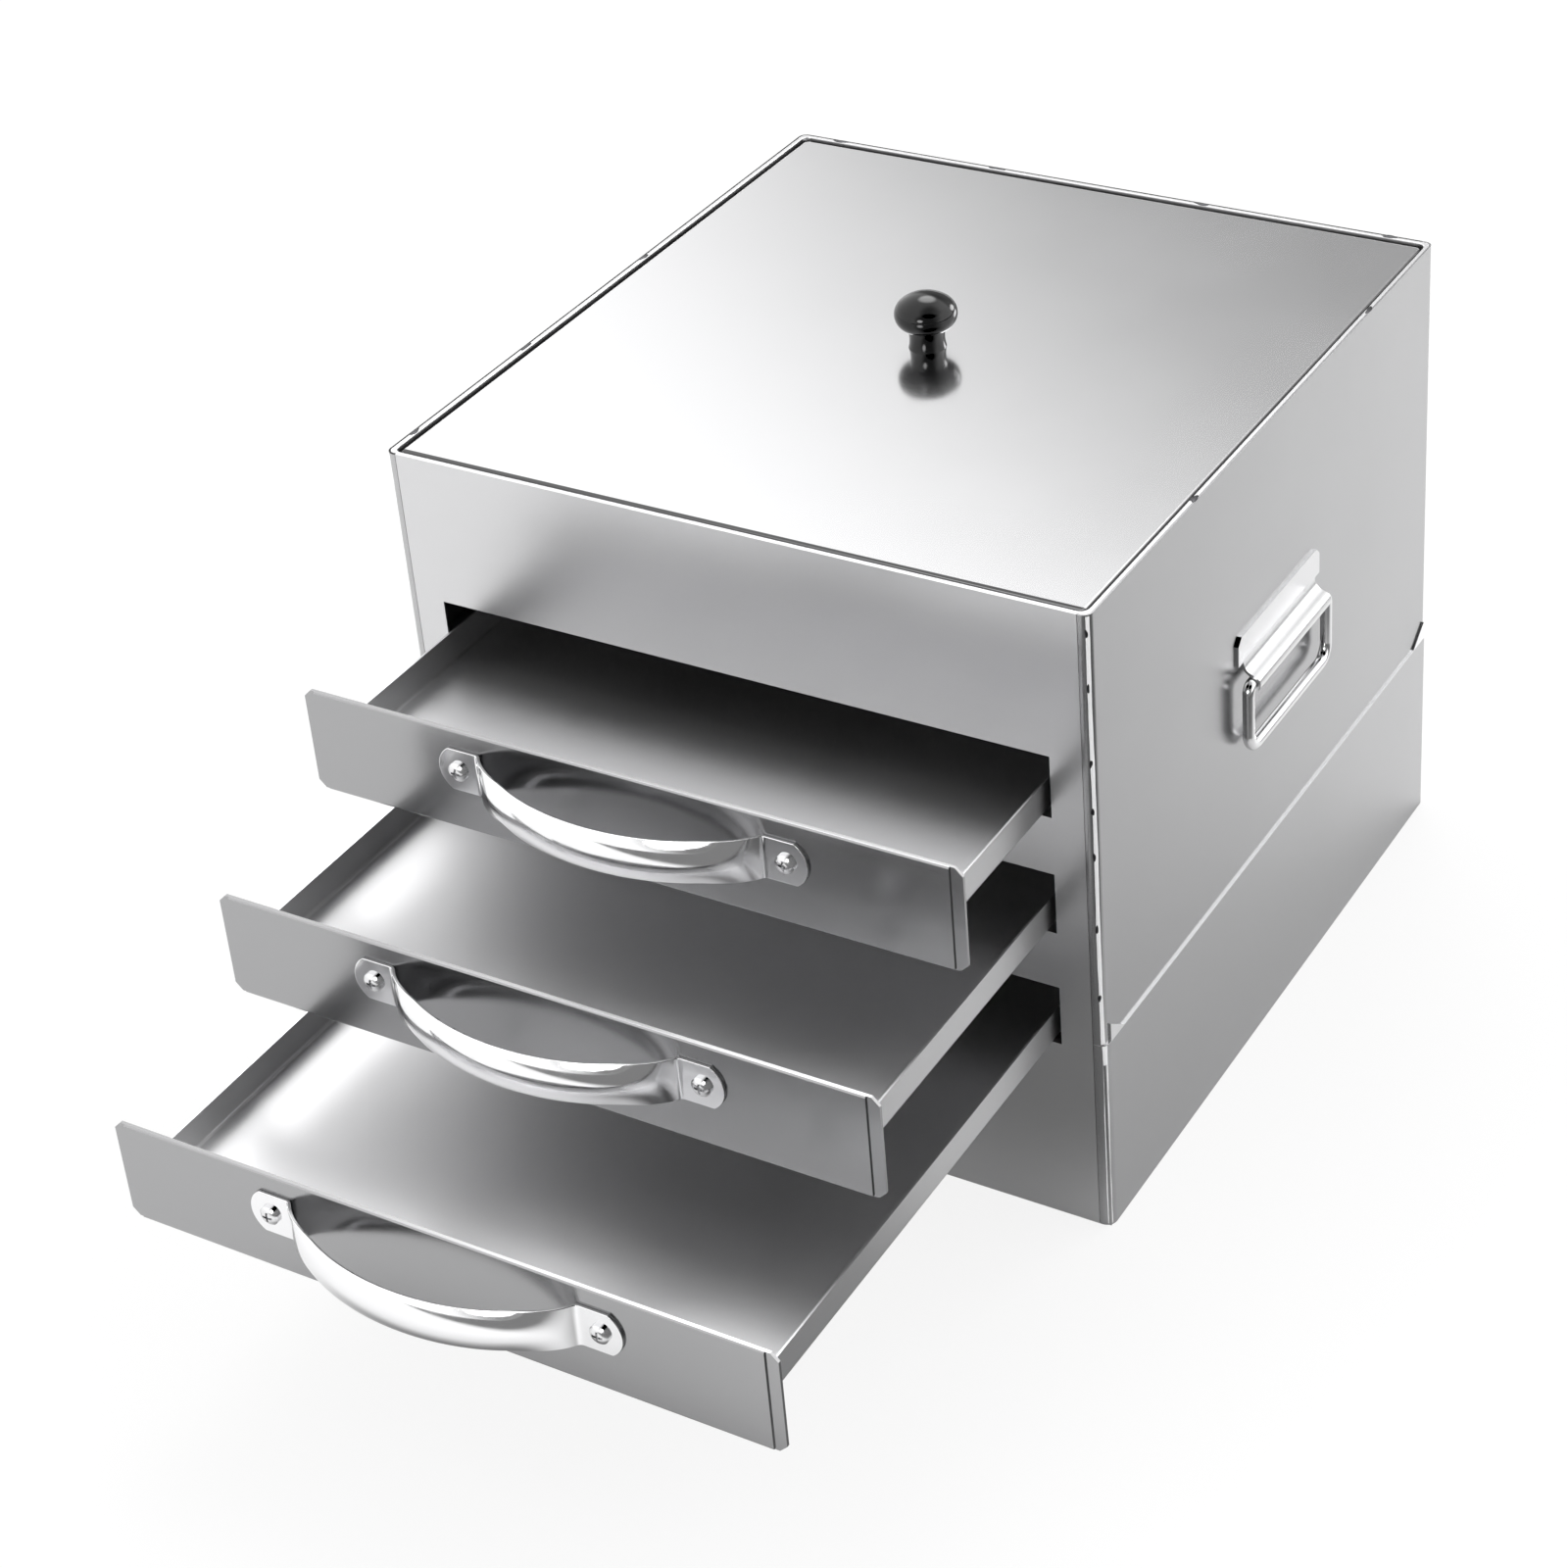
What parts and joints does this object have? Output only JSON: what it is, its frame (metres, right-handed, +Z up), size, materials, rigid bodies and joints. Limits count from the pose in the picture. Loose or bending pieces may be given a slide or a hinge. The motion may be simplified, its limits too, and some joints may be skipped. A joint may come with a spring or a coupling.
{
  "type": "drawer steamer",
  "caption": "Sheet-steel stove-top steamer with a water tank below, pull-out steaming trays with strap handles, a lift-off lid with a knob, and folding side handles.",
  "frame": {"origin": "centre of the casing's underside", "axes": "+Z up; -Y is the front, towards which the drawers pull; +X is the right-hand side seen from the front"},
  "size_m": [0.315, 0.5582, 0.2968],
  "materials": {
    "casing_steel": "satin stainless sheet",
    "tank_steel": "satin stainless sheet",
    "inner_steel": "plain stainless sheet",
    "lid_steel": "bright-rolled stainless sheet, half mirror",
    "knob_bakelite": "polished black bakelite",
    "fastener_steel": "bright zinc or stainless",
    "bracket_steel": "bright stainless sheet",
    "rod_steel": "polished stainless rod",
    "tray_steel": "plain stainless sheet",
    "front_steel": "brushed stainless, grain along X",
    "handle_steel": "polished stainless strap"
  },
  "bodies": {
    "casing": {"front_panel": "casing_steel", "back_panel": "casing_steel", "left_side_panel": "casing_steel", "right_side_panel": "casing_steel", "water_tank": "tank_steel", "rim_fold": "casing_steel", "lid_seat": "inner_steel", "left_handle_bracket": "bracket_steel", "right_handle_bracket": "bracket_steel", "top_left_runner": "inner_steel", "top_right_runner": "inner_steel", "middle_left_runner": "inner_steel", "middle_right_runner": "inner_steel", "bottom_left_runner": "inner_steel", "bottom_right_runner": "inner_steel"},
    "lid": {"lid_panel": "lid_steel", "lid_knob": "knob_bakelite", "knob_washer": "fastener_steel", "knob_screw": "fastener_steel"},
    "left_bail": {"left_bail": "rod_steel"},
    "right_bail": {"right_bail": "rod_steel"},
    "top_drawer": {"top_tray": "tray_steel", "top_drawer_front": "front_steel", "top_handle": "handle_steel", "top_handle_screws": "fastener_steel", "top_handle_nuts": "fastener_steel"},
    "middle_drawer": {"middle_tray": "tray_steel", "middle_drawer_front": "front_steel", "middle_handle": "handle_steel", "middle_handle_screws": "fastener_steel", "middle_handle_nuts": "fastener_steel"},
    "bottom_drawer": {"bottom_tray": "tray_steel", "bottom_drawer_front": "front_steel", "bottom_handle": "handle_steel", "bottom_handle_screws": "fastener_steel", "bottom_handle_nuts": "fastener_steel"}
  },
  "joints": [
    {"name": "top_drawer_slide", "type": "slide", "parent": "casing", "child": "top_drawer", "axis": [0, -1, 0], "range_m": [-0.077, 0.183]},
    {"name": "middle_drawer_slide", "type": "slide", "parent": "casing", "child": "middle_drawer", "axis": [0, -1, 0], "range_m": [-0.141, 0.119]},
    {"name": "bottom_drawer_slide", "type": "slide", "parent": "casing", "child": "bottom_drawer", "axis": [0, -1, 0], "range_m": [-0.2145, 0.0455]},
    {"name": "lid_lift", "type": "slide", "parent": "casing", "child": "lid", "axis": [0, 0, 1], "range_m": [0, 0.06]},
    {"name": "right_bail_swing", "type": "hinge", "parent": "casing", "child": "right_bail", "pos_m": [0.1538, 0, 0.1758], "axis": [0, -1, 0], "range_deg": [0, 170]},
    {"name": "left_bail_swing", "type": "hinge", "parent": "casing", "child": "left_bail", "pos_m": [-0.1538, 0, 0.1758], "axis": [0, 1, 0], "range_deg": [0, 170]}
  ]
}
